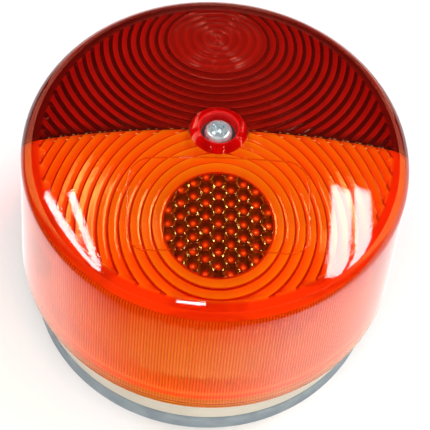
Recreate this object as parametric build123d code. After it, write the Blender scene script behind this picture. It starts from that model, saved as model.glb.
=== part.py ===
"""Round two-colour signal lamp for road equipment: a drum-shaped lens, half red and half amber, held by one
central screw on an ivory housing with a grey mounting gasket and two bayonet bulbs.

Millimetres. +Z points out of the lens, the mounting surface is z = 0 and the lens axis is x = y = 0.
The red chamber is on the +Y side and the amber chamber on the -Y side."""

from build123d import *
from math import sqrt
import os

os.makedirs("parts", exist_ok=True)

# ---- driving dimensions: levels along the axis
GASKET_TOP = 7.0
FLOOR_TOP = 9.5
LENS_EDGE_Z = 22.6
HOUSING_RIM_Z = 25.0
LENS_LEDGE_Z = 26.8
LENS_APEX_Z = 83.7
PLATE_Z = 20.6
PLATE_T = 1.0

# ---- driving dimensions: the lens
LENS_EDGE_R = 60.0
LENS_TOP_R = 56.8
LENS_TOP_Z = 71.8
LENS_T = 2.6
LENS_CORNER_R = 4.5
DOME_R = 174.0
SKIRT_T = 2.0
LEDGE_W = 4.4
LEDGE_H = 3.0
BOSS_R = 8.2
BOSS_BOTTOM_Z = 68.6
SCREW_WELL_R = 5.4
SCREW_WELL_DEPTH = 4.2

# ---- driving dimensions: housing, gaskets, divider
HOUSING_R = 56.8
HOUSING_WALL = 2.5
GASKET_R = 57.2
POST_R = 6.2
POST_TOP_Z = 68.2
POST_WELL_R = 4.2
INSERT_Z = (51.6, 58.6)
DIVIDER_T = 1.6
DIVIDER_GAP = 0.7
PLATE_R = 53.4
PLATE_SCREWS = [(x, y) for x in (-40.0, 40.0) for y in (-29.0, 29.0)]
MOUNT_HOLE_R = 2.75
MOUNT_HOLES = [(x, y) for x in (-36.0, 36.0) for y in (-15.0, 15.0)]
DRIVER_HOLE_R = 6.0
INLET_XY = (-26.0, 0.0)
INLET_R = 3.5
GROMMET_LIP = 1.5
EARTH_XY = (17.5, -10.0)

# ---- driving dimensions: the M4 lens screw
SCREW_R = 2.0
SCREW_LENGTH = 30.0
SCREW_HEAD_R = 4.0
SCREW_HEAD_H = 2.4
SEAL_T = 0.6
CLIP_Z = (59.0, 60.0)

# ---- driving dimensions: bayonet bulbs and their holders
BULB_Y = 30.0
PIN_Z = 29.6
PIN_R = 0.9
PIN_REACH = 8.75
CAP_R = 7.5
CAP_Z = (22.6, 39.1)
BULB_CONTACT_Z = 21.35
GLASS_R = 12.6
GLASS_CENTRE_Z = 60.6
GLASS_NECK_R = 6.9
SLEEVE_R = (7.75, 8.3)
SLEEVE_Z = (11.2, 35.6)
FLANGE_R = 13.0
TURN_DEG = 25.0
PUSH = 2.5
PLUNGER_Z = (19.1, 20.6)
BASE_DISC_Z = (11.7, 13.2)
TWIN_OFFSET = 3.2
TWIN_PIN_DROP = 2.0
STEM_R = 0.95
TAB_W = 6.3
TAB_T = 0.8


def disc(radius, z0, z1, x=0.0, y=0.0):
    """A cylinder standing from z0 to z1."""
    return Pos(x, y, (z0 + z1) / 2) * Cylinder(radius, z1 - z0)


def ring(outer, inner, z0, z1, x=0.0, y=0.0):
    """A tube or washer standing from z0 to z1."""
    return disc(outer, z0, z1, x, y) - disc(inner, z0 - 1, z1 + 1, x, y)


def block(x0, x1, y0, y1, z0, z1):
    """A box between two corners."""
    return Pos((x0 + x1) / 2, (y0 + y1) / 2, (z0 + z1) / 2) * Box(x1 - x0, y1 - y0, z1 - z0)


def save(name, shape):
    """Writes one sub-part, named as its node."""
    export_step(Compound(children=list(shape.solids())), f"parts/{name}.step")


def wall_radius(z):
    """Outer radius of the lens's tapered side wall at height z."""
    slope = (LENS_EDGE_R - LENS_TOP_R) / (LENS_TOP_Z - LENS_EDGE_Z)
    return LENS_EDGE_R - slope * (z - LENS_EDGE_Z)


def dome_height(radius, inset=0.0):
    """Height of the domed face at a radius, a wall thickness below it if inset is given."""
    return LENS_APEX_Z - DOME_R + sqrt((DOME_R - inset) ** 2 - radius**2)


def drum(inset, bottom, corner):
    """The solid drum under the lens's surface, inset from it all over, down to a level."""
    crown = wall_radius(LENS_TOP_Z + 2.0) - inset
    half = crown / 2
    edges = [
        Line((0, bottom), (wall_radius(bottom) - inset, bottom)),
        Line((wall_radius(bottom) - inset, bottom), (crown, dome_height(crown, inset))),
        ThreePointArc(
            (crown, dome_height(crown, inset)), (half, dome_height(half, inset)), (0, dome_height(0, inset))
        ),
        Line((0, dome_height(0, inset)), (0, bottom)),
    ]
    outline = Plane.XZ * make_face(edges)
    solid = revolve(outline, Axis.Z, 360)
    rim = [e for e in solid.edges().filter_by(GeomType.CIRCLE) if e.center().Z > LENS_TOP_Z - 5.0]
    return fillet(rim, corner)


def lens_shell():
    """The whole lens before it is divided by colour: domed cap, tapered wall, gasket ledge and thin skirt."""
    shell = drum(0.0, LENS_EDGE_Z, LENS_CORNER_R) - drum(LENS_T, LENS_EDGE_Z - 1, LENS_CORNER_R - LENS_T)
    ledge_top = LENS_LEDGE_Z + LEDGE_H
    ledge_outer = wall_radius(ledge_top) - LENS_T + 0.4
    ledge = ring(ledge_outer, wall_radius(LENS_LEDGE_Z) - LEDGE_W, LENS_LEDGE_Z, ledge_top)
    skirt_r = wall_radius(LENS_EDGE_Z) - SKIRT_T
    return shell + ledge - disc(skirt_r, LENS_EDGE_Z - 1, LENS_LEDGE_Z)


def lens_halves():
    """Red half with the whole screw boss, and amber half, which meets it on the plane y = 0."""
    shell = lens_shell()
    well_floor = LENS_APEX_Z - SCREW_WELL_DEPTH
    boss_blank = disc(BOSS_R, BOSS_BOTTOM_Z, LENS_APEX_Z + 1) & drum(0.0, LENS_EDGE_Z, LENS_CORNER_R)
    boss = boss_blank - disc(SCREW_WELL_R, well_floor, LENS_APEX_Z + 2)
    boss -= disc(SCREW_R + 0.4, BOSS_BOTTOM_Z - 1, LENS_APEX_Z)
    reach = LENS_EDGE_R + 5
    red_side = block(-reach, reach, 0, reach, 0, LENS_APEX_Z + 5)
    amber_side = block(-reach, reach, -reach, 0, 0, LENS_APEX_Z + 5)
    core = disc(BOSS_R, BOSS_BOTTOM_Z - 1, LENS_APEX_Z + 2)
    return (shell & red_side) - core + boss, (shell & amber_side) - core


def lens_screw():
    """M4 pan-head screw with a cross recess; its thread is a plain cylinder here."""
    under_head = LENS_APEX_Z - SCREW_WELL_DEPTH + SEAL_T
    head = disc(SCREW_HEAD_R, under_head, under_head + SCREW_HEAD_H)
    head = fillet(head.edges().filter_by(GeomType.CIRCLE).sort_by(Axis.Z)[-1], 1.5)
    top = under_head + SCREW_HEAD_H
    for angle in (45, 135):
        head -= Pos(0, 0, top - 0.6) * Rot(0, 0, angle) * Box(4.6, 1.1, 2.6)
    shank = disc(SCREW_R, under_head - SCREW_LENGTH, under_head)
    tip = shank.edges().filter_by(GeomType.CIRCLE).sort_by(Axis.Z)[0]
    return head + chamfer(tip, 0.5)


def housing():
    """Ivory cup with floor, rim, screw post, plate pillars, mounting holes and cable hole."""
    cup = disc(HOUSING_R, GASKET_TOP, HOUSING_RIM_Z)
    cup = chamfer(cup.edges().filter_by(GeomType.CIRCLE).sort_by(Axis.Z)[0], 0.8)
    cup -= disc(HOUSING_R - HOUSING_WALL, FLOOR_TOP, HOUSING_RIM_Z + 1)
    post_foot = Pos(0, 0, FLOOR_TOP + 3) * Cone(POST_R + 3, POST_R, 6)
    cup += disc(POST_R, FLOOR_TOP, POST_TOP_Z) + post_foot
    cup -= disc(POST_WELL_R, INSERT_Z[1], POST_TOP_Z + 1)
    cup -= disc(3.0, INSERT_Z[0], INSERT_Z[1] + 1)
    cup -= disc(SCREW_R + 0.3, INSERT_Z[0] - 6, INSERT_Z[0] + 1)
    for x, y in PLATE_SCREWS:
        cup += disc(4.0, FLOOR_TOP, PLATE_Z, x, y)
        cup -= disc(1.3, FLOOR_TOP + 1, PLATE_Z + 1, x, y)
    for x, y in MOUNT_HOLES:
        cup += disc(6.0, FLOOR_TOP, FLOOR_TOP + 1.5, x, y)
        cup -= disc(MOUNT_HOLE_R, 0, FLOOR_TOP + 3, x, y)
    return cup - disc(6.1, 0, FLOOR_TOP + 1, *INLET_XY)


def mounting_gasket():
    """Grey rubber pad under the housing, with the mounting holes and room for the grommet."""
    pad = disc(GASKET_R, 0, GASKET_TOP)
    pad = fillet(pad.edges().filter_by(GeomType.CIRCLE).sort_by(Axis.Z)[-1], 1.2)
    for x, y in MOUNT_HOLES:
        pad -= disc(MOUNT_HOLE_R, -1, GASKET_TOP + 1, x, y)
    return pad - disc(8.6, -1, GASKET_TOP + 1, *INLET_XY)


def cable_grommet():
    """Rubber grommet with a flange on each side of the housing floor."""
    x, y = INLET_XY
    low, high = GASKET_TOP - GROMMET_LIP, FLOOR_TOP + GROMMET_LIP
    body = disc(6.0, low, high, x, y) + disc(8.2, low, GASKET_TOP, x, y) + disc(8.2, FLOOR_TOP, high, x, y)
    return body - disc(INLET_R, low - 1, high + 1, x, y)


def chamber_divider():
    """Light-tight plate between the chambers, on a sleeve that drops over the screw post."""
    foot = PLATE_Z + PLATE_T
    inside = drum(LENS_T + DIVIDER_GAP, foot, LENS_CORNER_R - LENS_T)
    inside &= disc(HOUSING_R - HOUSING_WALL - 0.5, foot, LENS_APEX_Z)
    reach = LENS_EDGE_R
    plate = inside & block(-reach, reach, -DIVIDER_T / 2, DIVIDER_T / 2, foot, LENS_APEX_Z)
    sleeve = disc(POST_R + 1.6, foot, BOSS_BOTTOM_Z - 1.0)
    head_room = disc(BOSS_R + 0.8, BOSS_BOTTOM_Z - 1.0, LENS_APEX_Z + 1)
    return plate + sleeve - head_room - disc(POST_R + 0.2, foot - 1, LENS_APEX_Z)


def reflector_plate():
    """White painted steel plate that carries the bulb holders and is their earth."""
    plate = disc(PLATE_R, PLATE_Z, PLATE_Z + PLATE_T)
    plate -= disc(POST_R + 0.3, PLATE_Z - 1, PLATE_Z + 3) + disc(1.3, PLATE_Z - 1, PLATE_Z + 3, *EARTH_XY)
    for side in (-1, 1):
        plate -= disc(SLEEVE_R[1] + 0.15, PLATE_Z - 1, PLATE_Z + 3, 0, side * BULB_Y)
        for x in (-1, 1):
            plate -= disc(1.3, PLATE_Z - 1, PLATE_Z + 3, x * (FLANGE_R - 2.4), side * BULB_Y)
    for x, y in MOUNT_HOLES:
        plate -= disc(DRIVER_HOLE_R, PLATE_Z - 1, PLATE_Z + 3, x, y)
    for x, y in PLATE_SCREWS:
        plate -= disc(1.6, PLATE_Z - 1, PLATE_Z + 3, x, y)
    return plate


def plate_screws():
    """Four self-tapping screws that hold the reflector plate on its pillars."""
    screws = []
    for x, y in PLATE_SCREWS:
        top = PLATE_Z + PLATE_T
        head = disc(2.8, top, top + 1.8, x, y)
        head = fillet(head.edges().filter_by(GeomType.CIRCLE).sort_by(Axis.Z)[-1], 0.9)
        for angle in (0, 90):
            head -= Pos(x, y, top + 1.6) * Rot(0, 0, angle) * Box(3.2, 0.8, 1.6)
        screws.append(head + disc(1.25, top - 8.5, top, x, y))
    return Compound(children=screws)


def on_bulb_axis(shape, side):
    """Moves a shape made round the origin to the bulb axis of the red (+1) or amber (-1) chamber."""
    return Pos(0, side * BULB_Y, 0) * shape


def holder_sleeve(pin_drop):
    """Bayonet sleeve with a flange and two L-shaped slots that let the pins sink, turn and lift out."""
    outer, inner = SLEEVE_R[1], SLEEVE_R[0]
    sleeve = ring(outer, inner, *SLEEVE_Z)
    flange = ring(FLANGE_R, inner, PLATE_Z + PLATE_T, PLATE_Z + PLATE_T + 0.8)
    sleeve += flange + ring(inner + 0.2, inner - 1.0, SLEEVE_Z[0], SLEEVE_Z[0] + 0.4)
    half = PIN_R + 0.35
    for start, drop in ((0, 0.0), (180, pin_drop)):
        low = PIN_Z - drop - PUSH - PIN_R - 0.3
        for step in range(6):
            turned = Rot(0, 0, start + TURN_DEG * step / 5)
            top = SLEEVE_Z[1] + 1 if step == 5 else PIN_Z - drop + PIN_R + 0.3
            sleeve -= turned * block(inner - 1, outer + 2, -half, half, low, top)
    for x in (-1, 1):
        sleeve -= disc(1.3, PLATE_Z, PLATE_Z + 3, x * (FLANGE_R - 2.4), 0)
    return sleeve


def tubular_rivet(x, y, low, high):
    """Hollow rivet that clamps whatever lies between two levels."""
    rivet = disc(1.2, low - 0.6, high + 0.6, x, y)
    rivet += disc(2.1, high, high + 0.6, x, y) + disc(1.9, low - 0.6, low, x, y)
    return rivet - disc(0.6, low - 1, high + 1, x, y)


def plate_rivets():
    """Rivets of the reflector plate: two for each bulb holder's flange and one for the earth blade."""
    flange_top = PLATE_Z + PLATE_T + 0.8
    rivets = [tubular_rivet(*EARTH_XY, PLATE_Z - TAB_T, PLATE_Z + PLATE_T)]
    for side in (-1, 1):
        for x in (-1, 1):
            rivets.append(tubular_rivet(x * (FLANGE_R - 2.4), side * BULB_Y, PLATE_Z, flange_top))
    return Compound(children=rivets)


def contact_places(twin):
    """Offsets of the contacts from a bulb's axis: one in the middle, or two side by side."""
    return (-TWIN_OFFSET, TWIN_OFFSET) if twin else (0.0,)


def base_disc(twin):
    """Fixed insulating disc in the sleeve's bottom, drilled for the eyelets."""
    base = disc(SLEEVE_R[0] - 0.1, *BASE_DISC_Z)
    for x in contact_places(twin):
        base -= disc(1.65, BASE_DISC_Z[0] - 1, BASE_DISC_Z[1] + 1, x, 0)
    return base


def tab_terminal(x, heading):
    """Brass eyelet through the base disc with a flat blade that runs out under the holder."""
    top = SLEEVE_Z[0] - 0.05
    low = top - TAB_T
    eyelet = ring(1.6, STEM_R + 0.1, BASE_DISC_Z[0], BASE_DISC_Z[1] + 1.4, x, 0)
    eyelet += ring(2.6, STEM_R + 0.1, low, BASE_DISC_Z[0], x, 0)
    blade = block(1.2, 8.4, -1.15, 1.15, low, top) + block(8.4, 21.0, -TAB_W / 2, TAB_W / 2, low, top)
    blade -= disc(0.9, low - 1, top + 1, 18.0, 0)
    return eyelet + (Pos(x, 0, 0) * Rot(0, 0, heading) * blade)


def plunger_disc(twin):
    """Sliding insulating disc that carries the sprung contacts."""
    plate = disc(6.9, *PLUNGER_Z)
    for x in contact_places(twin):
        plate -= disc(1.15, PLUNGER_Z[0] - 1, PLUNGER_Z[1] + 1, x, 0)
    return plate


def plunger_contacts(twin):
    """Brass studs whose stems slide in the eyelets below."""
    studs = []
    for x in contact_places(twin):
        stem = disc(STEM_R, BASE_DISC_Z[1] - 0.4, PLUNGER_Z[1], x, 0)
        studs.append(stem + disc(1.7, PLUNGER_Z[1], BULB_CONTACT_Z - 0.05, x, 0))
    return Compound(children=studs)


def contact_spring():
    """Coil spring between the base disc and the plunger disc, with room at both ends for its wire."""
    wire, radius = 0.35, 5.3
    bottom, top = BASE_DISC_Z[1] + wire, PLUNGER_Z[0] - wire
    path = Pos(0, 0, bottom) * Helix(pitch=(top - bottom) / 3.0, height=top - bottom, radius=radius)
    section = Plane(origin=path @ 0, z_dir=path % 0) * Circle(wire)
    return sweep(section, path=path, is_frenet=True)


def bulb_cap(pin_drop):
    """Brass bayonet cap with two pins; pin_drop lowers one of them on a two-filament bulb."""
    cap = ring(CAP_R, CAP_R - 0.5, *CAP_Z)
    for side, drop in ((1, 0.0), (-1, pin_drop)):
        pin = Pos(side * (CAP_R + PIN_REACH - 0.5) / 2, 0, PIN_Z - drop) * Rot(0, 90, 0)
        cap += pin * Cylinder(PIN_R, PIN_REACH - CAP_R + 0.5)
    return cap


def bulb_insulator(twin):
    """Black glass filling at the cap's end, recessed for the solder contacts."""
    fill = Pos(0, 0, (CAP_Z[0] - 0.6 + CAP_Z[0] + 2) / 2) * Cone(5.6, CAP_R - 0.5, 2.6)
    for x in contact_places(twin):
        fill -= disc(1.9, 0, CAP_Z[0] + 0.4, x, 0)
    return fill


def bulb_contacts(twin):
    """Solder contacts on the bulb's end."""
    contacts = [disc(1.85, BULB_CONTACT_Z, CAP_Z[0] + 0.4, x, 0) for x in contact_places(twin)]
    return Compound(children=contacts)


def bulb_glass():
    """Pear-shaped envelope, 0.7 mm thick, open at the neck where it is cemented in the cap."""

    def envelope(inset):
        ball = Pos(0, 0, GLASS_CENTRE_Z) * Sphere(GLASS_R - inset)
        neck = disc(GLASS_NECK_R - inset, CAP_Z[0] + 6 - inset, GLASS_CENTRE_Z)
        flare = Pos(0, 0, CAP_Z[1] + 7.5) * Cone(GLASS_NECK_R - inset, 10.6 - inset, 15.0)
        return ball + neck + flare

    return envelope(0.0) - envelope(0.7)


def bulb_mount(twin):
    """Glass stem, support wires and filament coils as one inner assembly."""
    stem = disc(3.2, CAP_Z[0] + 3, CAP_Z[1] + 6) + Pos(0, 0, CAP_Z[1] + 7.5) * Cone(3.2, 2.2, 3)
    levels = (GLASS_CENTRE_Z, GLASS_CENTRE_Z - 5.5) if twin else (GLASS_CENTRE_Z,)
    for n, z in enumerate(levels):
        y = (n - 0.5) * 2.4 if twin else 0.0
        for x in (-3.2, 3.2):
            stem += disc(0.3, CAP_Z[1] + 6, z + 0.3, x * (0.65 if n else 1.0), y)
        stem += Pos(0, y, z) * Rot(0, 90, 0) * Cylinder(0.55, 6.4 * (0.65 if n else 1.0))
        stem += block(-3.5, 3.5, y - 0.35, y + 0.35, CAP_Z[1] + 5.6, CAP_Z[1] + 6.6)
    return stem


def earth_terminal():
    """Brass earth blade riveted under the reflector plate."""
    x, y = EARTH_XY
    side = TAB_W / 2
    tab = block(x - 3.5, x + 9.5, y - side, y + side, PLATE_Z - TAB_T, PLATE_Z)
    tab += block(x + 9.5 - TAB_T, x + 9.5, y - side, y + side, PLATE_Z - 8.8, PLATE_Z)
    tab -= Pos(x + 9.5, y, PLATE_Z - 6.3) * Rot(0, 90, 0) * Cylinder(0.9, 6)
    return tab - disc(1.3, PLATE_Z - 3, PLATE_Z + 1, x, y)


def build():
    """Makes every sub-part and writes it."""
    red, amber = lens_halves()
    save("lens_red", red)
    save("lens_amber", amber)
    well_floor = LENS_APEX_Z - SCREW_WELL_DEPTH
    save("lens_screw", lens_screw())
    save("screw_seal", ring(SCREW_WELL_R - 0.3, SCREW_R + 0.1, well_floor, well_floor + SEAL_T))
    save("screw_retaining_clip", ring(POST_WELL_R - 0.7, SCREW_R + 0.1, *CLIP_Z))
    save("housing", housing())
    save("threaded_insert", ring(2.95, SCREW_R + 0.06, INSERT_Z[0] + 0.05, INSERT_Z[1]))
    save("lens_gasket", ring(HOUSING_R + 0.2, HOUSING_R - HOUSING_WALL + 0.3, HOUSING_RIM_Z, LENS_LEDGE_Z))
    save("mounting_gasket", mounting_gasket())
    save("cable_grommet", cable_grommet())
    save("chamber_divider", chamber_divider())
    save("reflector_plate", reflector_plate())
    save("plate_screws", plate_screws())
    save("plate_rivets", plate_rivets())
    save("earth_terminal", earth_terminal())
    for name, side in (("amber", -1), ("red", 1)):
        twin = name == "red"
        pin_drop = TWIN_PIN_DROP if twin else 0.0
        pieces = {
            "holder": holder_sleeve(pin_drop),
            "holder_base": base_disc(twin),
            "plunger_disc": plunger_disc(twin),
            "plunger_contacts": plunger_contacts(twin),
            "contact_spring": contact_spring(),
            "bulb_cap": bulb_cap(pin_drop),
            "bulb_insulator": bulb_insulator(twin),
            "bulb_contacts": bulb_contacts(twin),
            "bulb_glass": bulb_glass(),
            "bulb_filament": bulb_mount(twin),
        }
        for piece, shape in pieces.items():
            save(f"{name}_{piece}", on_bulb_axis(shape, side))
    save("indicator_terminal", on_bulb_axis(tab_terminal(0.0, 0.0), -1))
    save("stop_terminal", on_bulb_axis(tab_terminal(TWIN_OFFSET, 0.0), 1))
    save("tail_terminal", on_bulb_axis(tab_terminal(-TWIN_OFFSET, 180.0), 1))


build()
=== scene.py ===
"""Round two-colour signal lamp on a pale studio floor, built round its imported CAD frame."""

from math import atan, atan2, cos, exp, hypot, pi, radians, sin, sqrt

import bpy
import numpy as np
from mathutils import Matrix, Vector


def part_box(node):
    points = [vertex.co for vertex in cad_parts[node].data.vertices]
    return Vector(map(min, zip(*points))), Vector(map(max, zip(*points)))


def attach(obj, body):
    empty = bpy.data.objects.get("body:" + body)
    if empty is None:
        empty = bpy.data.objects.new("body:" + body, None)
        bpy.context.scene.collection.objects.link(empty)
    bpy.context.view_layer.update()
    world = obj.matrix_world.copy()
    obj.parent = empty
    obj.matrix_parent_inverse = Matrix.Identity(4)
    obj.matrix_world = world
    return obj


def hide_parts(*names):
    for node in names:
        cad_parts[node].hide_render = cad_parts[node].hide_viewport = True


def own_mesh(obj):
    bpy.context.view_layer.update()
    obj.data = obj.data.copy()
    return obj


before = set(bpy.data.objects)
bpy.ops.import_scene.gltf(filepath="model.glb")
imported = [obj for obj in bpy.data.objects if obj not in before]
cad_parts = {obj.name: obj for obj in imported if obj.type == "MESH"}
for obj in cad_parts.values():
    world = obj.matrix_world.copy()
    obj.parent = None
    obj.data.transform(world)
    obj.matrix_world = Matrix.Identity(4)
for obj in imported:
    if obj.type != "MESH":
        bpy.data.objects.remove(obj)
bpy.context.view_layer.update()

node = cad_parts

# ---- Camera
# A long lens above the amber side, turned a few degrees to the left and tilted a little about its own axis.
# Its rise and turn are those of the line from the target to the camera; roll, pitch and yaw come after them.
CAMERA_DISTANCE = 0.35154
CAMERA_RISE = radians(55.0)
CAMERA_TURN = radians(-5.06)
CAMERA_ROLL, CAMERA_PITCH, CAMERA_YAW = radians(-5.89), radians(-3.05), radians(-0.24)
CAMERA_TARGET = Vector((0, 0, 0.0718))
CAMERA_LENS_MM = 100.5

towards_camera = Vector(
    (sin(CAMERA_TURN) * cos(CAMERA_RISE), -cos(CAMERA_TURN) * cos(CAMERA_RISE), sin(CAMERA_RISE))
)
camera_right = (-towards_camera).cross(Vector((0, 0, 1))).normalized()
camera_up = camera_right.cross(-towards_camera)
aim = (
    Matrix.Rotation(CAMERA_ROLL, 3, "Z")
    @ Matrix.Rotation(CAMERA_PITCH, 3, "X")
    @ Matrix.Rotation(CAMERA_YAW, 3, "Y")
    @ Matrix((camera_right, camera_up, -towards_camera))
)
camera = bpy.data.objects.new("camera", bpy.data.cameras.new("camera"))
camera.data.lens = CAMERA_LENS_MM
camera.data.sensor_width = 36.0
camera.data.clip_start = 0.01
camera.matrix_world = Matrix.LocRotScale(
    CAMERA_TARGET + towards_camera * CAMERA_DISTANCE, Matrix((aim[0], aim[1], -aim[2])).transposed(), None
)
bpy.context.scene.collection.objects.link(camera)
bpy.context.scene.camera = camera

# ---- Studio
# A pale floor and backdrop under a soft overhead light. Two pairs of long narrow panels on the ceiling, one
# to each side, are what the polished lens mirrors, with a small one almost straight above. What is low
# behind the lamp and to its sides is bright in its reflections, and what is above is dark.
FLOOR_HALF = 0.8
FLOOR_CORNERS = [(-1, -1), (1, -1), (1, 1), (-1, 1)]
floor_mesh = bpy.data.meshes.new("floor")
floor_mesh.from_pydata([(x * FLOOR_HALF, y * FLOOR_HALF, 0) for x, y in FLOOR_CORNERS], [], [(0, 1, 2, 3)])
floor = bpy.data.objects.new("floor", floor_mesh)
bpy.context.scene.collection.objects.link(floor)
floor_paper = bpy.data.materials.new("white_paper")
floor_paper.use_nodes = True
paper = floor_paper.node_tree.nodes["Principled BSDF"]
paper.inputs["Base Color"].default_value = (0.94, 0.94, 0.94, 1)
paper.inputs["Roughness"].default_value = 0.9
paper.inputs["Specular IOR Level"].default_value = 0.0
floor_mesh.materials.append(floor_paper)
floor.visible_glossy = False


def colour_stops(ramp_node, stops):
    """Sets a colour ramp's positions and colours."""
    ramp = ramp_node.color_ramp
    while len(ramp.elements) < len(stops):
        ramp.elements.new(0.5)
    for element, (position, colour) in zip(ramp.elements, stops):
        element.position = position
        element.color = (*colour, 1)


BRIGHT_SIDE = (0.40, 1.0, -0.82)
LOW_STOPS = [(0.12, (0.01, 0.01, 0.01)), (0.52, (1.0, 1.0, 1.0))]
HIGH_STOPS = [(0.0, (0.0, 0.0, 0.0)), (0.08, (1.0, 1.0, 1.0))]
DARK_ABOVE = (0.012, 0.012, 0.013, 1)
SKY_STRENGTH = 1.3
BACKDROP_SHADE = (0.93, 0.93, 0.93, 1)
world = bpy.data.worlds.new("studio")
world.use_nodes = True
bpy.context.scene.world = world
world_nodes, world_links = world.node_tree.nodes, world.node_tree.links
sky = world_nodes["Background"]
heading = world_nodes.new("ShaderNodeTexCoord")
across = world_nodes.new("ShaderNodeVectorMath")
across.operation = "DOT_PRODUCT"
across.inputs[1].default_value = BRIGHT_SIDE
low_ramp = world_nodes.new("ShaderNodeValToRGB")
colour_stops(low_ramp, LOW_STOPS)
up_and_down = world_nodes.new("ShaderNodeSeparateXYZ")
high_ramp = world_nodes.new("ShaderNodeValToRGB")
colour_stops(high_ramp, HIGH_STOPS)
sky_mix = world_nodes.new("ShaderNodeMix")
sky_mix.data_type = "RGBA"
sky_mix.inputs[7].default_value = DARK_ABOVE
world_links.new(heading.outputs["Generated"], across.inputs[0])
world_links.new(heading.outputs["Generated"], up_and_down.inputs[0])
world_links.new(across.outputs["Value"], low_ramp.inputs[0])
world_links.new(up_and_down.outputs["Z"], high_ramp.inputs[0])
world_links.new(high_ramp.outputs[0], sky_mix.inputs[0])
world_links.new(low_ramp.outputs[0], sky_mix.inputs[6])
world_links.new(sky_mix.outputs[2], sky.inputs["Color"])
sky.inputs["Strength"].default_value = SKY_STRENGTH
backdrop = world_nodes.new("ShaderNodeBackground")
backdrop.inputs["Color"].default_value = BACKDROP_SHADE
seen_directly = world_nodes.new("ShaderNodeLightPath")
sky_or_backdrop = world_nodes.new("ShaderNodeMixShader")
world_links.new(seen_directly.outputs["Is Camera Ray"], sky_or_backdrop.inputs[0])
world_links.new(sky.outputs[0], sky_or_backdrop.inputs[1])
world_links.new(backdrop.outputs[0], sky_or_backdrop.inputs[2])
world_links.new(sky_or_backdrop.outputs[0], world_nodes["World Output"].inputs["Surface"])


def light_panel(name, place, size, watts, turn=0.0, target=None, mirrored=True):
    """A rectangular area light that faces down, or faces a target, seen in reflections or not."""
    light = bpy.data.lights.new(name, "AREA")
    light.shape = "RECTANGLE"
    light.size, light.size_y = size
    light.energy = watts
    panel = bpy.data.objects.new(name, light)
    panel.location = place
    panel.rotation_euler = (0, 0, radians(turn))
    if target:
        panel.rotation_euler = (Vector(target) - Vector(place)).to_track_quat("-Z", "Y").to_euler()
    panel.visible_glossy = mirrored
    panel.visible_transmission = mirrored
    panel.visible_camera = False
    bpy.context.scene.collection.objects.link(panel)


CEILING = 1.58
LAMP_MIDDLE = (0, 0, 0.05)
light_panel("left_panel_outer", (-0.925, 0.31, CEILING), (0.062, 0.86), 3.7, turn=31.0)
light_panel("left_panel_inner", (-0.80, 0.32, CEILING), (0.047, 0.66), 2.1, turn=21.0)
light_panel("right_panel_inner", (0.92, 0.34, CEILING), (0.17, 0.74), 7.4, turn=-6.0)
light_panel("right_panel_outer", (1.13, 0.40, CEILING), (0.16, 0.76), 7.2, turn=-4.0)
light_panel("near_panel", (-0.085, -0.265, CEILING), (0.17, 0.032), 0.8)
light_panel("overhead", (0, -0.3, 1.45), (1.5, 1.5), 20.0, target=LAMP_MIDDLE, mirrored=False)
light_panel("front_fill", (0, -1.5, 0.55), (1.4, 0.7), 11.0, target=LAMP_MIDDLE, mirrored=False)
bpy.context.scene.view_settings.view_transform = "Standard"
bpy.context.scene.cycles.transparent_max_bounces = 24

# ---- Mounting gasket
# A flat disc of soft grey rubber between the lamp and the panel it is screwed to, moulded with its four
# screw holes and the cable hole. It is a shade bluer and darker where dust has been wiped off it.
FINER = 7


def grained(name, low, high, grain, rough, relief, metallic=0.0, stretch=(1, 1, 1)):
    """A surface whose colour, roughness and relief vary with its grain, which is in grains per metre."""
    material = bpy.data.materials.new(name)
    material.use_nodes = True
    nodes, links = material.node_tree.nodes, material.node_tree.links
    surface = nodes["Principled BSDF"]
    surface.inputs["Metallic"].default_value = metallic
    place = nodes.new("ShaderNodeTexCoord")
    drawn = nodes.new("ShaderNodeMapping")
    drawn.inputs["Scale"].default_value = stretch
    broad = nodes.new("ShaderNodeTexNoise")
    broad.inputs["Scale"].default_value = grain
    broad.inputs["Detail"].default_value = 6.0
    shade = nodes.new("ShaderNodeValToRGB")
    colour_stops(shade, [(0.32, low), (0.68, high)])
    polish = nodes.new("ShaderNodeMapRange")
    polish.inputs["To Min"].default_value = rough[0]
    polish.inputs["To Max"].default_value = rough[1]
    fine = nodes.new("ShaderNodeTexNoise")
    fine.inputs["Scale"].default_value = grain * FINER
    fine.inputs["Detail"].default_value = 4.0
    bump = nodes.new("ShaderNodeBump")
    bump.inputs["Strength"].default_value = 0.35
    bump.inputs["Distance"].default_value = relief
    links.new(place.outputs["Object"], drawn.inputs["Vector"])
    for noise in (broad, fine):
        links.new(drawn.outputs["Vector"], noise.inputs["Vector"])
    links.new(broad.outputs["Fac"], shade.inputs["Fac"])
    links.new(shade.outputs["Color"], surface.inputs["Base Color"])
    links.new(broad.outputs["Fac"], polish.inputs["Value"])
    links.new(polish.outputs["Result"], surface.inputs["Roughness"])
    links.new(fine.outputs["Fac"], bump.inputs["Height"])
    links.new(bump.outputs["Normal"], surface.inputs["Normal"])
    return material


def dress(material, *names):
    """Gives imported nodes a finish."""
    for name in names:
        for slot in node[name].material_slots:
            slot.material = material


grey_rubber = grained("grey_rubber", (0.23, 0.285, 0.32), (0.33, 0.39, 0.42), 140, (0.55, 0.75), 0.00012)
dress(grey_rubber, "mounting_gasket")

# ---- Housing
# The cup, moulded in ivory ABS with a fine satin texture, with its screw post and four mounting holes. The
# wall between the two chambers is the same plastic and drops into two grooves of the cup.
ivory = grained("ivory_plastic", (0.60, 0.545, 0.43), (0.68, 0.625, 0.50), 60, (0.32, 0.46), 0.00005)
ivory.node_tree.nodes["Principled BSDF"].inputs["Subsurface Weight"].default_value = 0.08
ivory.node_tree.nodes["Principled BSDF"].inputs["Subsurface Radius"].default_value = (0.002, 0.0015, 0.001)
dress(ivory, "housing", "chamber_divider")

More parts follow.
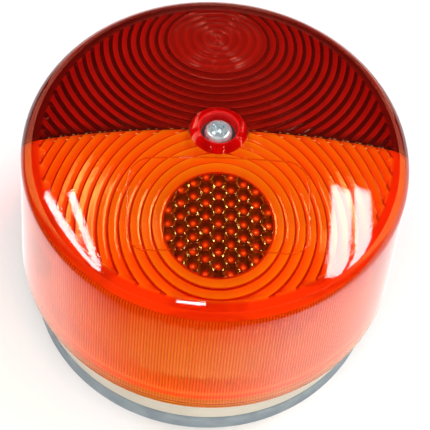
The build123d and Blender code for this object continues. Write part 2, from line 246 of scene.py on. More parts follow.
# ---- Rubber seals
# Black EPDM: the ring the lens closes on, the collar in the cable hole and the ring under the lens screw's
# head. Each is moulded, with a dull bloom on it.
black_rubber = grained("black_rubber", (0.012, 0.012, 0.013), (0.035, 0.035, 0.036), 220, (0.5, 0.8), 0.00010)
dress(black_rubber, "lens_gasket", "cable_grommet", "screw_seal")

# ---- Reflector plate
# Pressed steel with gloss white stove paint, which throws the bulbs' light forward and carries their earth.
# Four self-tapping screws hold it to the housing's pillars.
white_paint = grained("white_paint", (0.80, 0.79, 0.76), (0.87, 0.865, 0.84), 45, (0.16, 0.3), 0.00006)
white_paint.node_tree.nodes["Principled BSDF"].inputs["Coat Weight"].default_value = 0.6
white_paint.node_tree.nodes["Principled BSDF"].inputs["Coat Roughness"].default_value = 0.08
dress(white_paint, "reflector_plate")

# ---- Plated steel
# Bright zinc with the faint blue of its chromate rinse: the plate's screws and rivets, both bulb holders'
# sleeves and the spring clip under the lens. It is grainy, and duller in patches.
zinc = grained("zinc_plate", (0.50, 0.56, 0.62), (0.78, 0.83, 0.87), 420, (0.22, 0.42), 0.00004, metallic=1.0)
dress(zinc, "plate_screws", "plate_rivets", "amber_holder", "red_holder", "screw_retaining_clip")

# ---- Brass
# Blades that the wires push on to, the earth blade, the nut moulded into the post, and the plungers'
# contacts: brass strip with the lengthwise lines of its rolling, slightly tarnished.
brass = grained(
    "rolled_brass", (0.52, 0.34, 0.12), (0.80, 0.60, 0.27), 260, (0.2, 0.45), 0.00004, 1.0, (1, 1, 5)
)
blades = ["earth_terminal", "indicator_terminal", "stop_terminal", "tail_terminal", "threaded_insert"]
dress(brass, *blades, "amber_plunger_contacts", "red_plunger_contacts")

# ---- Holder boards
# Punched discs of brown laminated paper: the base of each holder and the sliding disc that carries its
# contacts. The paper's fibres show as fine streaks.
board = grained(
    "laminated_board", (0.13, 0.055, 0.02), (0.26, 0.125, 0.05), 300, (0.35, 0.6), 0.00008, 0.0, (1, 6, 1)
)
dress(board, "amber_holder_base", "red_holder_base", "amber_plunger_disc", "red_plunger_disc")

# ---- Contact springs
# Wound from hard drawn steel wire with a dead turn at each end, between a holder's base and its sliding
# disc. Each shortens as its bulb is pushed in.
spring_wire = grained(
    "spring_wire", (0.28, 0.28, 0.29), (0.55, 0.55, 0.56), 500, (0.2, 0.38), 0.00002, 1.0, (1, 1, 3)
)
WIRE_R, SPRING_TURNS, DEAD_TURNS, PUSH = 0.00033, 4, 0.9, 0.0025
SPRING_STEPS, WIRE_SIDES = 36, 8


def smooth_by_angle(made, degrees):
    """Smooth shading with creases kept sharp."""
    made.data.shade_smooth()
    made.data.set_sharp_from_angle(angle=radians(degrees))


def coil_spring(name, packed):
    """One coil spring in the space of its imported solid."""
    low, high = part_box(packed)
    middle, radius = (low + high) / 2, (high.x - low.x) / 2 - WIRE_R
    height, turn_height = high.z - low.z - 2 * WIRE_R, 2.1 * WIRE_R
    live = (height - 2 * DEAD_TURNS * turn_height) / (SPRING_TURNS - 2 * DEAD_TURNS)
    points, faces = [], []
    count = SPRING_TURNS * SPRING_STEPS
    for n in range(count + 1):
        turn, angle = n / SPRING_STEPS, 2 * pi * n / SPRING_STEPS
        live_turns = max(0.0, min(turn, SPRING_TURNS - DEAD_TURNS) - DEAD_TURNS)
        dead_turns = min(turn, DEAD_TURNS) + max(0.0, turn - SPRING_TURNS + DEAD_TURNS)
        centre_z = low.z + WIRE_R + turn_height * dead_turns + live * live_turns
        for k in range(WIRE_SIDES):
            r = radius + WIRE_R * cos(2 * pi * k / WIRE_SIDES)
            z = centre_z + WIRE_R * sin(2 * pi * k / WIRE_SIDES)
            points.append((middle.x + r * cos(angle), middle.y + r * sin(angle), z))
        if n:
            here, there = WIRE_SIDES * (n - 1), WIRE_SIDES * n
            for k in range(WIRE_SIDES):
                after = (k + 1) % WIRE_SIDES
                faces.append((here + k, there + k, there + after, here + after))
    first_end = tuple(range(WIRE_SIDES))
    last_end = tuple(WIRE_SIDES * count + k for k in reversed(range(WIRE_SIDES)))
    faces += [first_end, last_end]
    mesh = bpy.data.meshes.new(name)
    mesh.from_pydata(points, [], faces)
    mesh.validate()
    mesh.materials.append(spring_wire)
    spring = bpy.data.objects.new(name, mesh)
    bpy.context.scene.collection.objects.link(spring)
    smooth_by_angle(spring, 50)
    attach(spring, "housing")
    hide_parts(packed)
    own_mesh(spring)


coil_spring("amber_coil_spring", "amber_contact_spring")
coil_spring("red_coil_spring", "red_contact_spring")

# ---- Bulbs
# Blown glass on a stamped brass cap with bayonet pins, closed by black glass with solder contacts. The cap
# is brighter than the blades; the glass is clear, with the faint waves of its blowing.
cap_brass = grained(
    "cap_brass", (0.66, 0.47, 0.20), (0.86, 0.70, 0.38), 180, (0.16, 0.32), 0.00003, 1.0, (1, 1, 4)
)
dress(cap_brass, "amber_bulb_cap", "red_bulb_cap")
vitrite = grained("vitrite", (0.006, 0.005, 0.008), (0.02, 0.018, 0.028), 160, (0.06, 0.2), 0.00004)
dress(vitrite, "amber_bulb_insulator", "red_bulb_insulator")
solder = grained("solder", (0.50, 0.50, 0.50), (0.72, 0.72, 0.71), 700, (0.25, 0.5), 0.00015, metallic=1.0)
dress(solder, "amber_bulb_contacts", "red_bulb_contacts")

bulb_glass = bpy.data.materials.new("bulb_glass")
bulb_glass.use_nodes = True
glass_nodes, glass_links = bulb_glass.node_tree.nodes, bulb_glass.node_tree.links
glass = glass_nodes["Principled BSDF"]
glass.inputs["Base Color"].default_value = (0.97, 0.985, 0.98, 1)
glass.inputs["Roughness"].default_value = 0.0
glass.inputs["IOR"].default_value = 1.5
glass.inputs["Transmission Weight"].default_value = 1.0
blowing = glass_nodes.new("ShaderNodeTexNoise")
blowing.inputs["Scale"].default_value = 55.0
waves = glass_nodes.new("ShaderNodeBump")
waves.inputs["Strength"].default_value = 0.1
waves.inputs["Distance"].default_value = 0.0004
glass_links.new(blowing.outputs["Fac"], waves.inputs["Height"])
glass_links.new(waves.outputs["Normal"], glass.inputs["Normal"])
unlit = glass_nodes.new("ShaderNodeBsdfTransparent")
unlit.inputs["Color"].default_value = (0.95, 0.96, 0.96, 1)
glass_ray = glass_nodes.new("ShaderNodeLightPath")
glass_choice = glass_nodes.new("ShaderNodeMixShader")
glass_links.new(glass_ray.outputs["Is Shadow Ray"], glass_choice.inputs["Fac"])
glass_links.new(glass.outputs[0], glass_choice.inputs[1])
glass_links.new(unlit.outputs[0], glass_choice.inputs[2])
glass_links.new(glass_choice.outputs[0], glass_nodes["Material Output"].inputs["Surface"])
dress(bulb_glass, "amber_bulb_glass", "red_bulb_glass")

# ---- Filaments
# Tungsten wire wound into a fine coil on two support wires over a glass stem. The indicator bulb has one;
# the stop and tail bulb has two, and the tail one is shorter and lower.
tungsten = grained(
    "tungsten", (0.16, 0.155, 0.15), (0.34, 0.33, 0.32), 900, (0.25, 0.45), 0.00001, metallic=1.0
)
dress(tungsten, "amber_bulb_filament", "red_bulb_filament")
BULB_Y, COIL_R, COIL_WIRE_R, TURNS, TURN_STEPS = 0.030, 0.00064, 0.00009, 22, 12
MAIN_Z, TAIL_Z, OFF_MIDDLE = 0.0606, 0.0551, 0.0012


def winding(name, body, length, centre):
    """One coil of filament wire round its core."""
    path = bpy.data.curves.new(name, "CURVE")
    path.dimensions = "3D"
    path.bevel_depth = COIL_WIRE_R
    path.bevel_resolution = 2
    path.use_fill_caps = True
    wire = path.splines.new("POLY")
    count = TURNS * TURN_STEPS
    wire.points.add(count)
    for n in range(count + 1):
        angle = 2 * pi * n / TURN_STEPS
        along = length * (n / count - 0.5)
        y, z = centre[1] + COIL_R * cos(angle), centre[2] + COIL_R * sin(angle)
        wire.points[n].co = (centre[0] + along, y, z, 1)
    made = bpy.data.objects.new(name, path)
    bpy.context.scene.collection.objects.link(made)
    path.materials.append(tungsten)
    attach(made, body)


winding("amber_filament_coil", "amber_bulb", 0.0062, (0, -BULB_Y, MAIN_Z))
winding("red_stop_coil", "red_bulb", 0.0062, (0, BULB_Y - OFF_MIDDLE, MAIN_Z))
winding("red_tail_coil", "red_bulb", 0.0040, (0, BULB_Y + OFF_MIDDLE, TAIL_Z))

# ---- Lens: shape
# One two-colour moulding, 2.6 mm thick and polished outside. Inside, each half has Fresnel rings round a
# disc of hexagonal pips under the face, and fine upright flutes down the wall. Lengths are in millimetres.
MM = 0.001
EDGE_Z, EDGE_R = 22.6, 60.0
WALL_TOP_Z, WALL_TOP_R = 71.8, 56.8
APEX_Z, DOME_R = 83.7, 174.0
SHOULDER_R = 4.5
WALL = 2.6
BOSS_R = 8.2
# Half the gap between the two halves' meshes, which are one moulding.
JOIN_GAP = 0.01
# The inner face: its radius, the disc in each half, the rings' height, and how far from the edge they die
# away.
FACE_R, DISC_R, RING_STEP, FADE = 50.6, 15.0, 0.9, 0.9
DISC_ROWS, OUTER_SEGMENTS, NOTCH_TRIM = 46, 160, 6
# The pips, six round each: the share of the pitch where their cups meet, and that of the painted highlight at
# their middle, a light spot painted into the colour while the cups round it are painted dark as shade.
PIP_PITCH, PIP_DEPTH, PIP_CUP, PIP_PAINTED_HIGHLIGHT = 3.45, 1.5, 0.69, 0.20
FLUTES, FLUTE_DEPTH, FLUTE_TOP_Z, FLUTE_LOW_Z = 200, 0.28, 70.6, 30.2
# The ledge at the wall's foot, which closes on the rubber ring, and the thin skirt below it.
LEDGE_Z, LEDGE_H, LEDGE_R, LEDGE_WALL_Z = 26.86, 1.6, 55.33, 29.0
SKIRT_R = 58.0
# The polished outside looks deeper in colour from this far from a point on the axis, over this distance.
THICK_CENTRE_Z, THICK_FROM, THICK_OVER = 30.0, 64.0, 4.0

wall_slope = (EDGE_R - WALL_TOP_R) / (WALL_TOP_Z - EDGE_Z)


def wall_radius(z):
    """Outer radius of the tapered wall."""
    return EDGE_R - wall_slope * (z - EDGE_Z)


def dome_z(r):
    """Height of the domed face."""
    return APEX_Z - DOME_R + sqrt(DOME_R**2 - r**2)


def shoulder_centre():
    """Centre of the rounding between wall and dome, found by halving."""
    low, high = WALL_TOP_Z - 8.0, APEX_Z
    for _ in range(60):
        z = (low + high) / 2
        r = wall_radius(z) - SHOULDER_R / cos(atan(wall_slope))
        if hypot(r, z - APEX_Z + DOME_R) < DOME_R - SHOULDER_R:
            low = z
        else:
            high = z
    return r, z


def outer_profile():
    """Points (radius, height) from the skirt's bottom up the wall, round the shoulder and over the dome."""
    rc, zc = shoulder_centre()
    first = atan(wall_slope)
    last = atan2(zc - APEX_Z + DOME_R, rc)
    points = [(EDGE_R - 0.35, EDGE_Z), (EDGE_R - 0.1, EDGE_Z + 0.1), (EDGE_R, EDGE_Z + 0.35)]
    arc = [first + (last - first) * n / 14 for n in range(15)]
    wall_end = zc + SHOULDER_R * sin(first)
    points += [(wall_radius(z), z) for z in np.linspace(EDGE_Z + 3.0, wall_end - 3.0, 10)]
    points += [(rc + SHOULDER_R * cos(a), zc + SHOULDER_R * sin(a)) for a in arc]
    dome_edge = rc + SHOULDER_R * cos(last)
    points += [(r, dome_z(r)) for r in np.linspace(dome_edge - 1.5, BOSS_R, 30)]
    return points


def nearest_pip(x, y):
    """Distance from a place, measured from the disc's centre, to the middle of the nearest hexagonal pip."""
    row = PIP_PITCH / cos(radians(30))
    nearest = 9.0
    column = round(x / PIP_PITCH)
    for c in (column - 1, column, column + 1):
        shift = row / 2 if c % 2 else 0.0
        centre_y = round((y - shift) / row) * row + shift
        nearest = min(nearest, hypot(x - c * PIP_PITCH, y - centre_y))
    return nearest


def optic(half, rho, x, y, ring):
    """How far the inner face stands in and its depth of colour, in a ring or in the disc (ring -1). The
    colour is painted light and shade standing in for the moulding's refraction: dark between the pips with a
    painted highlight at their middles, a dark line in each riser that is stronger out to the sides, a slope
    whose shade changes along it and to the sides, and in the red half's plain disc, rings painted lighter and
    darker.
    """
    line, pitch = half["line"], half["pitch"]
    off_axis = min(1.0, abs(x) / 26.0)
    if ring < 0 and half["pips"]:
        nearest = nearest_pip(x, y)
        relief = PIP_DEPTH * (1 - (nearest / (PIP_CUP * PIP_PITCH)) ** 2)
        # Painted shade and highlight: the cups between the pips are painted dark, and the middle of each pip
        # is painted light.
        return relief, 0.99 - 0.66 * exp(-((nearest / (PIP_PAINTED_HIGHLIGHT * PIP_PITCH)) ** 2))
    if ring < 0:
        # Painted light and shade: rings painted lighter and darker over the red half's plain disc.
        wave = 0.5 + 0.5 * cos(rho * 2 * pi / pitch)
        return 0.5 * wave, 0.25 + 0.15 * wave
    share = (rho - DISC_R - ring * pitch) / pitch
    # Painted shade: each riser's line is dark, more so out to the sides; the slope after it is painted a
    # shade that changes along it and out to the sides.
    if share < line:
        return RING_STEP, half["groove"] * (half["even"] + (1 - half["even"]) * off_axis)
    slope = (share - line) / (1 - line)
    start, along_slope, to_sides = half["crest"]
    return RING_STEP * (1 - slope), start + along_slope * slope + to_sides * off_axis


def reach_of(origin, heading, side):
    """Distance from an optic's centre to its half face's edge: the outer circle, the join or the boss."""
    ox, oy = origin
    dx, dy = heading
    b = ox * dx + oy * dy
    far = -b + sqrt(b * b - (ox * ox + oy * oy - FACE_R**2))
    if side * dy < -1e-9:
        far = min(far, (side * JOIN_GAP - oy) / dy)
    spread = b * b - (ox * ox + oy * oy - (BOSS_R + JOIN_GAP) ** 2)
    if spread > 0 and -b - sqrt(spread) > 0:
        far = min(far, -b - sqrt(spread))
    return far


def half_face(half):
    """Grid of the inner face of one half, in rays from the optic's centre, with the points along its edge."""
    side = half["side"]
    origin = (0.0, side * half["optic_y"])
    arc = [pi * n / (2 * FLUTES) for n in range(2 * FLUTES + 1)]
    edge = [(FACE_R * cos(a), side * max(FACE_R * sin(a), JOIN_GAP)) for a in arc]
    inner = np.linspace(-FACE_R, -BOSS_R - 0.5, 110)[1:]
    edge += [(x, side * JOIN_GAP) for x in inner]
    notch = [pi - pi * n / 60 for n in range(61)]
    edge += [(BOSS_R * cos(a), side * BOSS_R * sin(a)) for a in notch[NOTCH_TRIM:-NOTCH_TRIM]]
    edge += [(-x, side * JOIN_GAP) for x in inner[::-1]]
    rows = [(rho, -1) for rho in np.linspace(0.0, DISC_R, DISC_ROWS)]
    ring = 0
    while DISC_R + ring * half["pitch"] < FACE_R + half["optic_y"]:
        low = DISC_R + ring * half["pitch"]
        groove = half["line"] * half["pitch"]
        steps = (0.04, groove - 0.05, groove + 0.03, half["pitch"] * 0.6, half["pitch"])
        rows += [(low + step, ring) for step in steps]
        ring += 1
    points, deep, keys = [], [], []
    for ex, ey in edge:
        length = hypot(ex - origin[0], ey - origin[1])
        heading = ((ex - origin[0]) / length, (ey - origin[1]) / length)
        reach = reach_of(origin, heading, side)
        column = []
        done = None
        for rho, ring in rows:
            if done is not None:
                column.append(done)
                continue
            if rho >= reach:
                rho = reach
            x, y = origin[0] + rho * heading[0], origin[1] + rho * heading[1]
            relief, depth = optic(half, rho, x - origin[0], y - origin[1], ring)
            relief *= min(1.0, (reach - rho) / FADE)
            points.append((x, y, dome_z(hypot(x, y)) - WALL - relief))
            # Painted shadow of the chamber divider: in the red half, a dark band along the join, fainter
            # towards the middle.
            deep.append(max(depth, half["divider"] * (1 - abs(y) / 4.5) * min(1.0, abs(x) / 18.0)))
            column.append(len(points) - 1)
            if rho >= reach:
                done = len(points) - 1
        keys.append(column)
    faces = []
    count = len(keys)
    for n in range(count):
        here, there = keys[n], keys[(n + 1) % count]
        for k in range(len(rows) - 1):
            loop = [here[k], here[k + 1], there[k + 1], there[k]]
            loop = [p for i, p in enumerate(loop) if p not in loop[:i]]
            if len(loop) >= 3:
                faces.append(tuple(loop))
    return points, deep, faces, [column[-1] for column in keys], len(arc), len(inner)


def zipped(chain_a, chain_b, points):
    """Triangles between two chains of points that run side by side."""
    at_a = np.array([points[p] for p in chain_a])
    at_b = np.array([points[p] for p in chain_b])
    run_a = np.concatenate([[0], np.cumsum(np.linalg.norm(np.diff(at_a, axis=0), axis=1))])
    run_b = np.concatenate([[0], np.cumsum(np.linalg.norm(np.diff(at_b, axis=0), axis=1))])
    run_a, run_b = run_a / run_a[-1], run_b / run_b[-1]
    i = j = 0
    faces = []
    while i < len(chain_a) - 1 or j < len(chain_b) - 1:
        if j == len(chain_b) - 1 or (i < len(chain_a) - 1 and run_a[i + 1] <= run_b[j + 1]):
            faces.append((chain_a[i], chain_a[i + 1], chain_b[j]))
            i += 1
        else:
            faces.append((chain_a[i], chain_b[j + 1], chain_b[j]))
            j += 1
    return faces


def inner_wall_profile():
    """Down the inside of the wall to its foot: radius, height, share of the flutes' depth, depth of colour,
    and how much deeper it gets in every other flute. The flutes are painted as stripes of light and shade,
    and a dark line of painted shade runs low on the skirt above a lighter lip."""
    points = [(FACE_R + 0.9, 73.3, 0.0, 0.58, 0.0), (53.2, 72.3, 0.0, 0.58, 0.0)]
    points += [(wall_radius(FLUTE_TOP_Z) - WALL, FLUTE_TOP_Z, 0.0, 0.55, 0.0)]
    # Painted light and shade: every other flute is painted darker, as stripes.
    for z in np.linspace(FLUTE_TOP_Z - 0.6, FLUTE_LOW_Z + 0.6, 8):
        points += [(wall_radius(z) - WALL, z, 1.0, 0.02 + 0.1 * (z - FLUTE_LOW_Z) / 40, 0.6)]
    ledge_top = LEDGE_Z + LEDGE_H
    return points + [
        (wall_radius(FLUTE_LOW_Z) - WALL, FLUTE_LOW_Z, 0.0, 0.05, 0.3),
        (wall_radius(LEDGE_WALL_Z) - WALL, ledge_top, 0.0, 0.05, 0.3),
        (LEDGE_R, ledge_top, 0.0, 0.05, 0.3),
        (LEDGE_R, LEDGE_Z, 0.0, 0.05, 0.3),
        (SKIRT_R, LEDGE_Z, 0.0, 0.05, 0.4),
        (SKIRT_R, 24.0, 0.0, 0.1, 0.4),
        # Painted shade: a dark line low on the skirt, where the gap beside the rubber ring lies in shadow.
        (SKIRT_R, 23.7, 0.0, 0.6, 0.3),
        (SKIRT_R, 23.3, 0.0, 0.6, 0.3),
        (SKIRT_R, 23.1, 0.0, 0.0, 0.12),
        (SKIRT_R, EDGE_Z, 0.0, 0.0, 0.1),
    ]


def lens_half(half):
    """Closed mesh of one half: points, depth of colour, and moulded, polished and joining faces."""
    side = half["side"]
    points, deep, moulded, rim, arc_count, line_count = half_face(half)
    wall_rows = [rim[:arc_count]]
    for radius, z, share, depth, contrast in inner_wall_profile():
        row = []
        for n in range(arc_count):
            angle = pi * n / (arc_count - 1)
            r = radius - FLUTE_DEPTH * share * (n % 2)
            points.append((r * cos(angle), side * max(r * sin(angle), JOIN_GAP), z))
            deep.append(depth + contrast * (n % 2))
            row.append(len(points) - 1)
        wall_rows.append(row)
    for above, below in zip(wall_rows, wall_rows[1:]):
        moulded += [(above[n], above[n + 1], below[n + 1], below[n]) for n in range(arc_count - 1)]
    outer_rows, polished = [], []
    for r, z in outer_profile():
        thickness = (hypot(r, z - THICK_CENTRE_Z) - THICK_FROM) / THICK_OVER
        row = []
        for n in range(OUTER_SEGMENTS + 1):
            angle = pi * n / OUTER_SEGMENTS
            points.append((r * cos(angle), side * max(r * sin(angle), JOIN_GAP), z))
            deep.append(min(1.0, max(0.0, thickness)))
            row.append(len(points) - 1)
        outer_rows.append(row)
    for below, above in zip(outer_rows, outer_rows[1:]):
        polished += [(below[n], below[n + 1], above[n + 1], above[n]) for n in range(OUTER_SEGMENTS)]
    polished += zipped(wall_rows[-1], outer_rows[0], points)
    left_line = rim[arc_count - 1 : arc_count + line_count]
    boss_line = rim[arc_count + line_count - 1 : len(rim) - line_count + 1]
    right_line = rim[len(rim) - line_count :] + [rim[0]]
    inner_left = [row[-1] for row in wall_rows[::-1]] + left_line[1:]
    inner_right = [row[0] for row in wall_rows[::-1]] + right_line[::-1][1:]
    joins = zipped([row[-1] for row in outer_rows], inner_left, points)
    joins += zipped([row[0] for row in outer_rows], inner_right, points)
    joins += zipped(outer_rows[-1][::-1], boss_line, points)
    return points, deep, moulded, polished, joins


# ---- Lens: plastic
# Transparent acrylic, dyed in the mass: amber and signal red. The outside is polished. The moulded inside
# spreads the light, so that the dye looks full there, and deepest in the thick corner. Light and shade are
# painted into its colour for the moulding's refraction: dark shade in the rings' risers and between the pips,
# highlights at the pips' middles, stripes down the flutes and the divider's shadow in the red half.


def dyed_and_painted(name, stops, clear_share, shadow_tint, roughness, unevenness):
    """Dyed plastic, wholly or partly clear, whose colour follows a mesh attribute that carries the depth of
    the dye together with painted light and shade.
    """
    material = bpy.data.materials.new(name)
    material.use_nodes = True
    nodes, links = material.node_tree.nodes, material.node_tree.links
    plastic = nodes["Principled BSDF"]
    plastic.inputs["Roughness"].default_value = roughness
    plastic.inputs["IOR"].default_value = 1.49
    plastic.inputs["Transmission Weight"].default_value = clear_share
    depth = nodes.new("ShaderNodeAttribute")
    depth.attribute_name = "dye_and_painted_light"
    dye = nodes.new("ShaderNodeValToRGB")
    colour_stops(dye, stops)
    flow = nodes.new("ShaderNodeTexNoise")
    flow.inputs["Scale"].default_value = 90.0
    flow.inputs["Detail"].default_value = 3.0
    ripple = nodes.new("ShaderNodeBump")
    ripple.inputs["Strength"].default_value = unevenness
    ripple.inputs["Distance"].default_value = 0.0006
    links.new(depth.outputs["Fac"], dye.inputs["Fac"])
    links.new(dye.outputs["Color"], plastic.inputs["Base Color"])
    links.new(flow.outputs["Fac"], ripple.inputs["Height"])
    links.new(ripple.outputs["Normal"], plastic.inputs["Normal"])
    passing = nodes.new("ShaderNodeBsdfTransparent")
    passing.inputs["Color"].default_value = (*shadow_tint, 1)
    kind_of_ray = nodes.new("ShaderNodeLightPath")
    choice = nodes.new("ShaderNodeMixShader")
    links.new(kind_of_ray.outputs["Is Shadow Ray"], choice.inputs["Fac"])
    links.new(plastic.outputs[0], choice.inputs[1])
    links.new(passing.outputs[0], choice.inputs[2])
    links.new(choice.outputs[0], nodes["Material Output"].inputs["Surface"])
    return material


# Where the halves and the boss are fused there is no surface to see.
fusion_line = bpy.data.materials.new("fused_join")
fusion_line.use_nodes = True
fused = fusion_line.node_tree.nodes["Principled BSDF"]
fused.inputs["IOR"].default_value = 1.0
fused.inputs["Transmission Weight"].default_value = 1.0
fused.inputs["Roughness"].default_value = 0.0
fused.inputs["Base Color"].default_value = (1, 1, 1, 1)

# Colours along the depth of colour, from light, as in the painted highlights, to near black, as in the
# painted shade between the pips, in the risers and under the divider.
AMBER_STOPS = [
    (0.0, (0.98, 0.44, 0.012)),
    (0.30, (0.92, 0.20, 0.004)),
    (0.58, (0.92, 0.045, 0.003)),
    (0.75, (0.50, 0.014, 0.001)),
    (1.0, (0.03, 0.004, 0.0)),
]
RED_STOPS = [
    (0.0, (0.85, 0.012, 0.012)),
    (0.30, (0.36, 0.018, 0.008)),
    (0.58, (0.20, 0.012, 0.006)),
    (0.75, (0.05, 0.004, 0.002)),
    (1.0, (0.012, 0.001, 0.001)),
]
AMBER_SKIN = [(0.0, (1.0, 0.62, 0.16)), (1.0, (1.0, 0.3, 0.06))]
RED_SKIN = [(0.0, (0.95, 0.35, 0.25)), (1.0, (0.62, 0.13, 0.08))]
amber_outside = dyed_and_painted("amber_polished", AMBER_SKIN, 1.0, (1.0, 0.9, 0.7), 0.0, 0.015)
amber_inside = dyed_and_painted("amber_moulded", AMBER_STOPS, 0.35, (1.0, 0.6, 0.25), 0.05, 0.04)
red_outside = dyed_and_painted("red_polished", RED_SKIN, 1.0, (0.95, 0.55, 0.5), 0.0, 0.015)
red_inside = dyed_and_painted("red_moulded", RED_STOPS, 0.35, (0.9, 0.25, 0.2), 0.05, 0.04)

# A half's rings: the distance of their centre from the lens's axis, their pitch, the share of it that each
# riser's line takes, that line's depth of colour and how much of it is left on the centre line, and the
# slope's depth of colour: at its start, what it gains along the slope, and what it gains out to the sides.
# These depths of colour are painted light and shade for the rings' refraction. The divider's shadow is
# painted as a dark band along the red half's join.
AMBER_HALF = {
    "side": -1,
    "optic_y": 29.0,
    "pips": True,
    "pitch": 3.0,
    "line": 0.19,
    "groove": 0.80,
    "even": 0.94,
    "crest": (0.38, -0.27, 0.17),
    "divider": 0.0,
}
RED_HALF = {
    "side": 1,
    "optic_y": 36.5,
    "pips": False,
    "pitch": 2.75,
    "line": 0.42,
    "groove": 0.71,
    "even": 0.78,
    "crest": (0.46, -0.14, -0.2),
    "divider": 0.95,
}


POLISHED, MOULDED, JOIN = 0, 1, 2


def finish_lens(name, half, outside, inside, extra=None):
    """Builds one half with its three finishes: polished outside, moulded inside and the fused joins."""
    points, deep, moulded, polished, joins = lens_half(half)
    flags = [MOULDED] * len(moulded) + [POLISHED] * len(polished) + [JOIN] * len(joins)
    faces = moulded + polished + joins
    if extra is not None:
        boss_points, boss_deep, boss_faces, boss_flags = extra
        shift = len(points)
        points = points + boss_points
        deep = deep + boss_deep
        faces = faces + [tuple(p + shift for p in face) for face in boss_faces]
        flags += boss_flags
    mesh = bpy.data.meshes.new(name)
    mesh.from_pydata([tuple(c * MM for c in p) for p in points], [], faces)
    mesh.polygons.foreach_set("material_index", flags)
    mesh.attributes.new("dye_and_painted_light", "FLOAT", "POINT").data.foreach_set("value", deep)
    mesh.validate()
    made = bpy.data.objects.new(name, mesh)
    bpy.context.scene.collection.objects.link(made)
    bpy.ops.object.select_all(action="DESELECT")
    bpy.context.view_layer.objects.active = made
    made.select_set(True)
    bpy.ops.object.mode_set(mode="EDIT")
    bpy.ops.mesh.select_all(action="SELECT")
    bpy.ops.mesh.remove_doubles(threshold=1e-7)
    bpy.ops.mesh.normals_make_consistent(inside=False)
    bpy.ops.object.mode_set(mode="OBJECT")
    smooth_by_angle(made, 22)
    for finish in (outside, inside, fusion_line):
        mesh.materials.append(finish)
    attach(made, "lens")
    return made


# ---- Lens: screw boss
# The round post under the lens screw, moulded with the red half. Its well takes the screw's head and a
# sealing ring.
WELL_R, WELL_FLOOR_Z, BOSS_BOTTOM_Z, SCREW_HOLE_R = 5.4, 79.5, 68.6, 2.4
BOSS_SEGMENTS = 120


def turned_ring(profile):
    """Points and faces of a ring-shaped solid, turned from a closed profile of (radius, height) points."""
    points, faces = [], []
    for r, z in profile:
        angles = [2 * pi * n / BOSS_SEGMENTS for n in range(BOSS_SEGMENTS)]
        points += [(r * cos(angle), r * sin(angle), z) for angle in angles]
    for k in range(len(profile)):
        a, b = k * BOSS_SEGMENTS, (k + 1) % len(profile) * BOSS_SEGMENTS
        for n in range(BOSS_SEGMENTS):
            m = (n + 1) % BOSS_SEGMENTS
            faces.append((a + n, a + m, b + m, b + n))
    return points, faces


def boss():
    """Ring-shaped solid of the boss and flags that mark its sides within the lens's wall as joins."""
    side_top = dome_z(BOSS_R)
    r = BOSS_R - JOIN_GAP
    profile = [(r, side_top - WALL), (r, side_top), (7.2, dome_z(7.2)), (WELL_R + 0.5, dome_z(6.0))]
    profile += [(WELL_R + 0.15, dome_z(5.6) - 0.12), (WELL_R, dome_z(5.4) - 0.5)]
    profile += [(WELL_R, WELL_FLOOR_Z + 0.3), (WELL_R - 0.3, WELL_FLOOR_Z), (SCREW_HOLE_R, WELL_FLOOR_Z)]
    profile += [(SCREW_HOLE_R, BOSS_BOTTOM_Z), (r - 0.6, BOSS_BOTTOM_Z), (r, BOSS_BOTTOM_Z + 0.6)]
    points, faces = turned_ring(profile)
    band = [n // BOSS_SEGMENTS for n in range(len(faces))]
    flags = [JOIN if n == 0 else POLISHED if n < 3 else MOULDED for n in band]
    return points, [0.0] * len(points), faces, flags


lens_amber = finish_lens("amber_lens", AMBER_HALF, amber_outside, amber_inside)
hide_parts("lens_amber")
lens_red = finish_lens("red_lens", RED_HALF, red_outside, red_inside, boss())
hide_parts("lens_red")

# ---- Marking border
# A low moulded bead on the amber face that frames the area kept for markings, here left blank. It follows
# the dome and is the same amber plastic.
BEAD_R, BEAD_LIFT, BEAD_STEP = 0.22, 0.02, 1.5
PANEL_HALF, PANEL_TOP, PANEL_LOW, PANEL_CORNER, CORNER_STEPS = 25.2, -10.4, -38.0, 6.0, 12


def border_points():
    """Points round the frame, in the plane, with rounded corners."""
    corners = [(1, PANEL_TOP, 0), (-1, PANEL_TOP, 90), (-1, PANEL_LOW, 180), (1, PANEL_LOW, 270)]
    for side, y, first in corners:
        cx = side * (PANEL_HALF - PANEL_CORNER)
        cy = y - PANEL_CORNER if y == PANEL_TOP else y + PANEL_CORNER
        for n in range(CORNER_STEPS + 1):
            angle = radians(first + 90 * n / CORNER_STEPS)
            yield cx + PANEL_CORNER * cos(angle), cy + PANEL_CORNER * sin(angle)


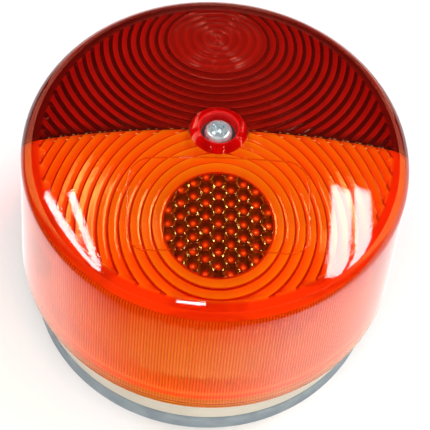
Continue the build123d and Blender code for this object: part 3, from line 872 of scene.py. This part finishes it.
bead_path = bpy.data.curves.new("marking_border", "CURVE")
bead_path.dimensions = "3D"
bead_path.bevel_depth = BEAD_R * MM
bead_path.bevel_resolution = 3
frame_points = []
corner_points = list(border_points())
for here, there in zip(corner_points, corner_points[1:] + corner_points[:1]):
    pieces = max(1, round(hypot(there[0] - here[0], there[1] - here[1]) / BEAD_STEP))
    for n in range(pieces):
        frame_points.append([here[k] + (there[k] - here[k]) * n / pieces for k in (0, 1)])
bead_line = bead_path.splines.new("POLY")
bead_line.points.add(len(frame_points) - 1)
bead_line.use_cyclic_u = True
for point, (x, y) in zip(bead_line.points, frame_points):
    point.co = (x * MM, y * MM, (dome_z(hypot(x, y)) + BEAD_LIFT) * MM, 1)
marking_border = bpy.data.objects.new("marking_border", bead_path)
bpy.context.scene.collection.objects.link(marking_border)
bead_path.materials.append(amber_outside)
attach(marking_border, "lens")

# ---- Lens screw
# M4 by 30 pan-head machine screw in bright zinc-plated steel with a cross recess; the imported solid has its
# head and shank, and its rolled thread is wound on here. It turns in the clip that keeps it in the lens.
screw_zinc = grained(
    "screw_zinc", (0.66, 0.76, 0.81), (0.92, 0.97, 0.99), 700, (0.18, 0.36), 0.00005, metallic=0.7
)
dress(screw_zinc, "lens_screw")
THREAD_PITCH, THREAD_R, THREAD_TOP_Z, THREAD_TURNS, PER_TURN = 0.7, 1.98, 78.5, 39, 24
THREAD_RISE, THREAD_ROOT, ROOT_HALF, CREST_HALF = 0.1, 0.05, 0.3, 0.05
thread_points, thread_faces = [], []
for n in range(THREAD_TURNS * PER_TURN + 1):
    angle = 2 * pi * n / PER_TURN
    z = THREAD_TOP_Z - THREAD_PITCH * n / PER_TURN
    rise = THREAD_RISE * min(1.0, n / PER_TURN, (THREAD_TURNS * PER_TURN - n) / PER_TURN)
    root, crest = THREAD_R - THREAD_ROOT, THREAD_R + rise
    for r, dz in ((root, ROOT_HALF), (crest, CREST_HALF), (crest, -CREST_HALF), (root, -ROOT_HALF)):
        thread_points.append((r * cos(angle) * MM, -r * sin(angle) * MM, (z + dz) * MM))
    if n:
        for k in range(4):
            a, b = 4 * (n - 1) + k, 4 * (n - 1) + (k + 1) % 4
            thread_faces.append((a, b, b + 4, a + 4))
last = len(thread_points) - 4
thread_faces += [(3, 2, 1, 0), (last, last + 1, last + 2, last + 3)]
thread_mesh = bpy.data.meshes.new("lens_screw_thread")
thread_mesh.from_pydata(thread_points, [], thread_faces)
thread_mesh.validate()
thread_mesh.materials.append(screw_zinc)
lens_screw_thread = bpy.data.objects.new("lens_screw_thread", thread_mesh)
bpy.context.scene.collection.objects.link(lens_screw_thread)
smooth_by_angle(lens_screw_thread, 40)
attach(lens_screw_thread, "lens_screw")
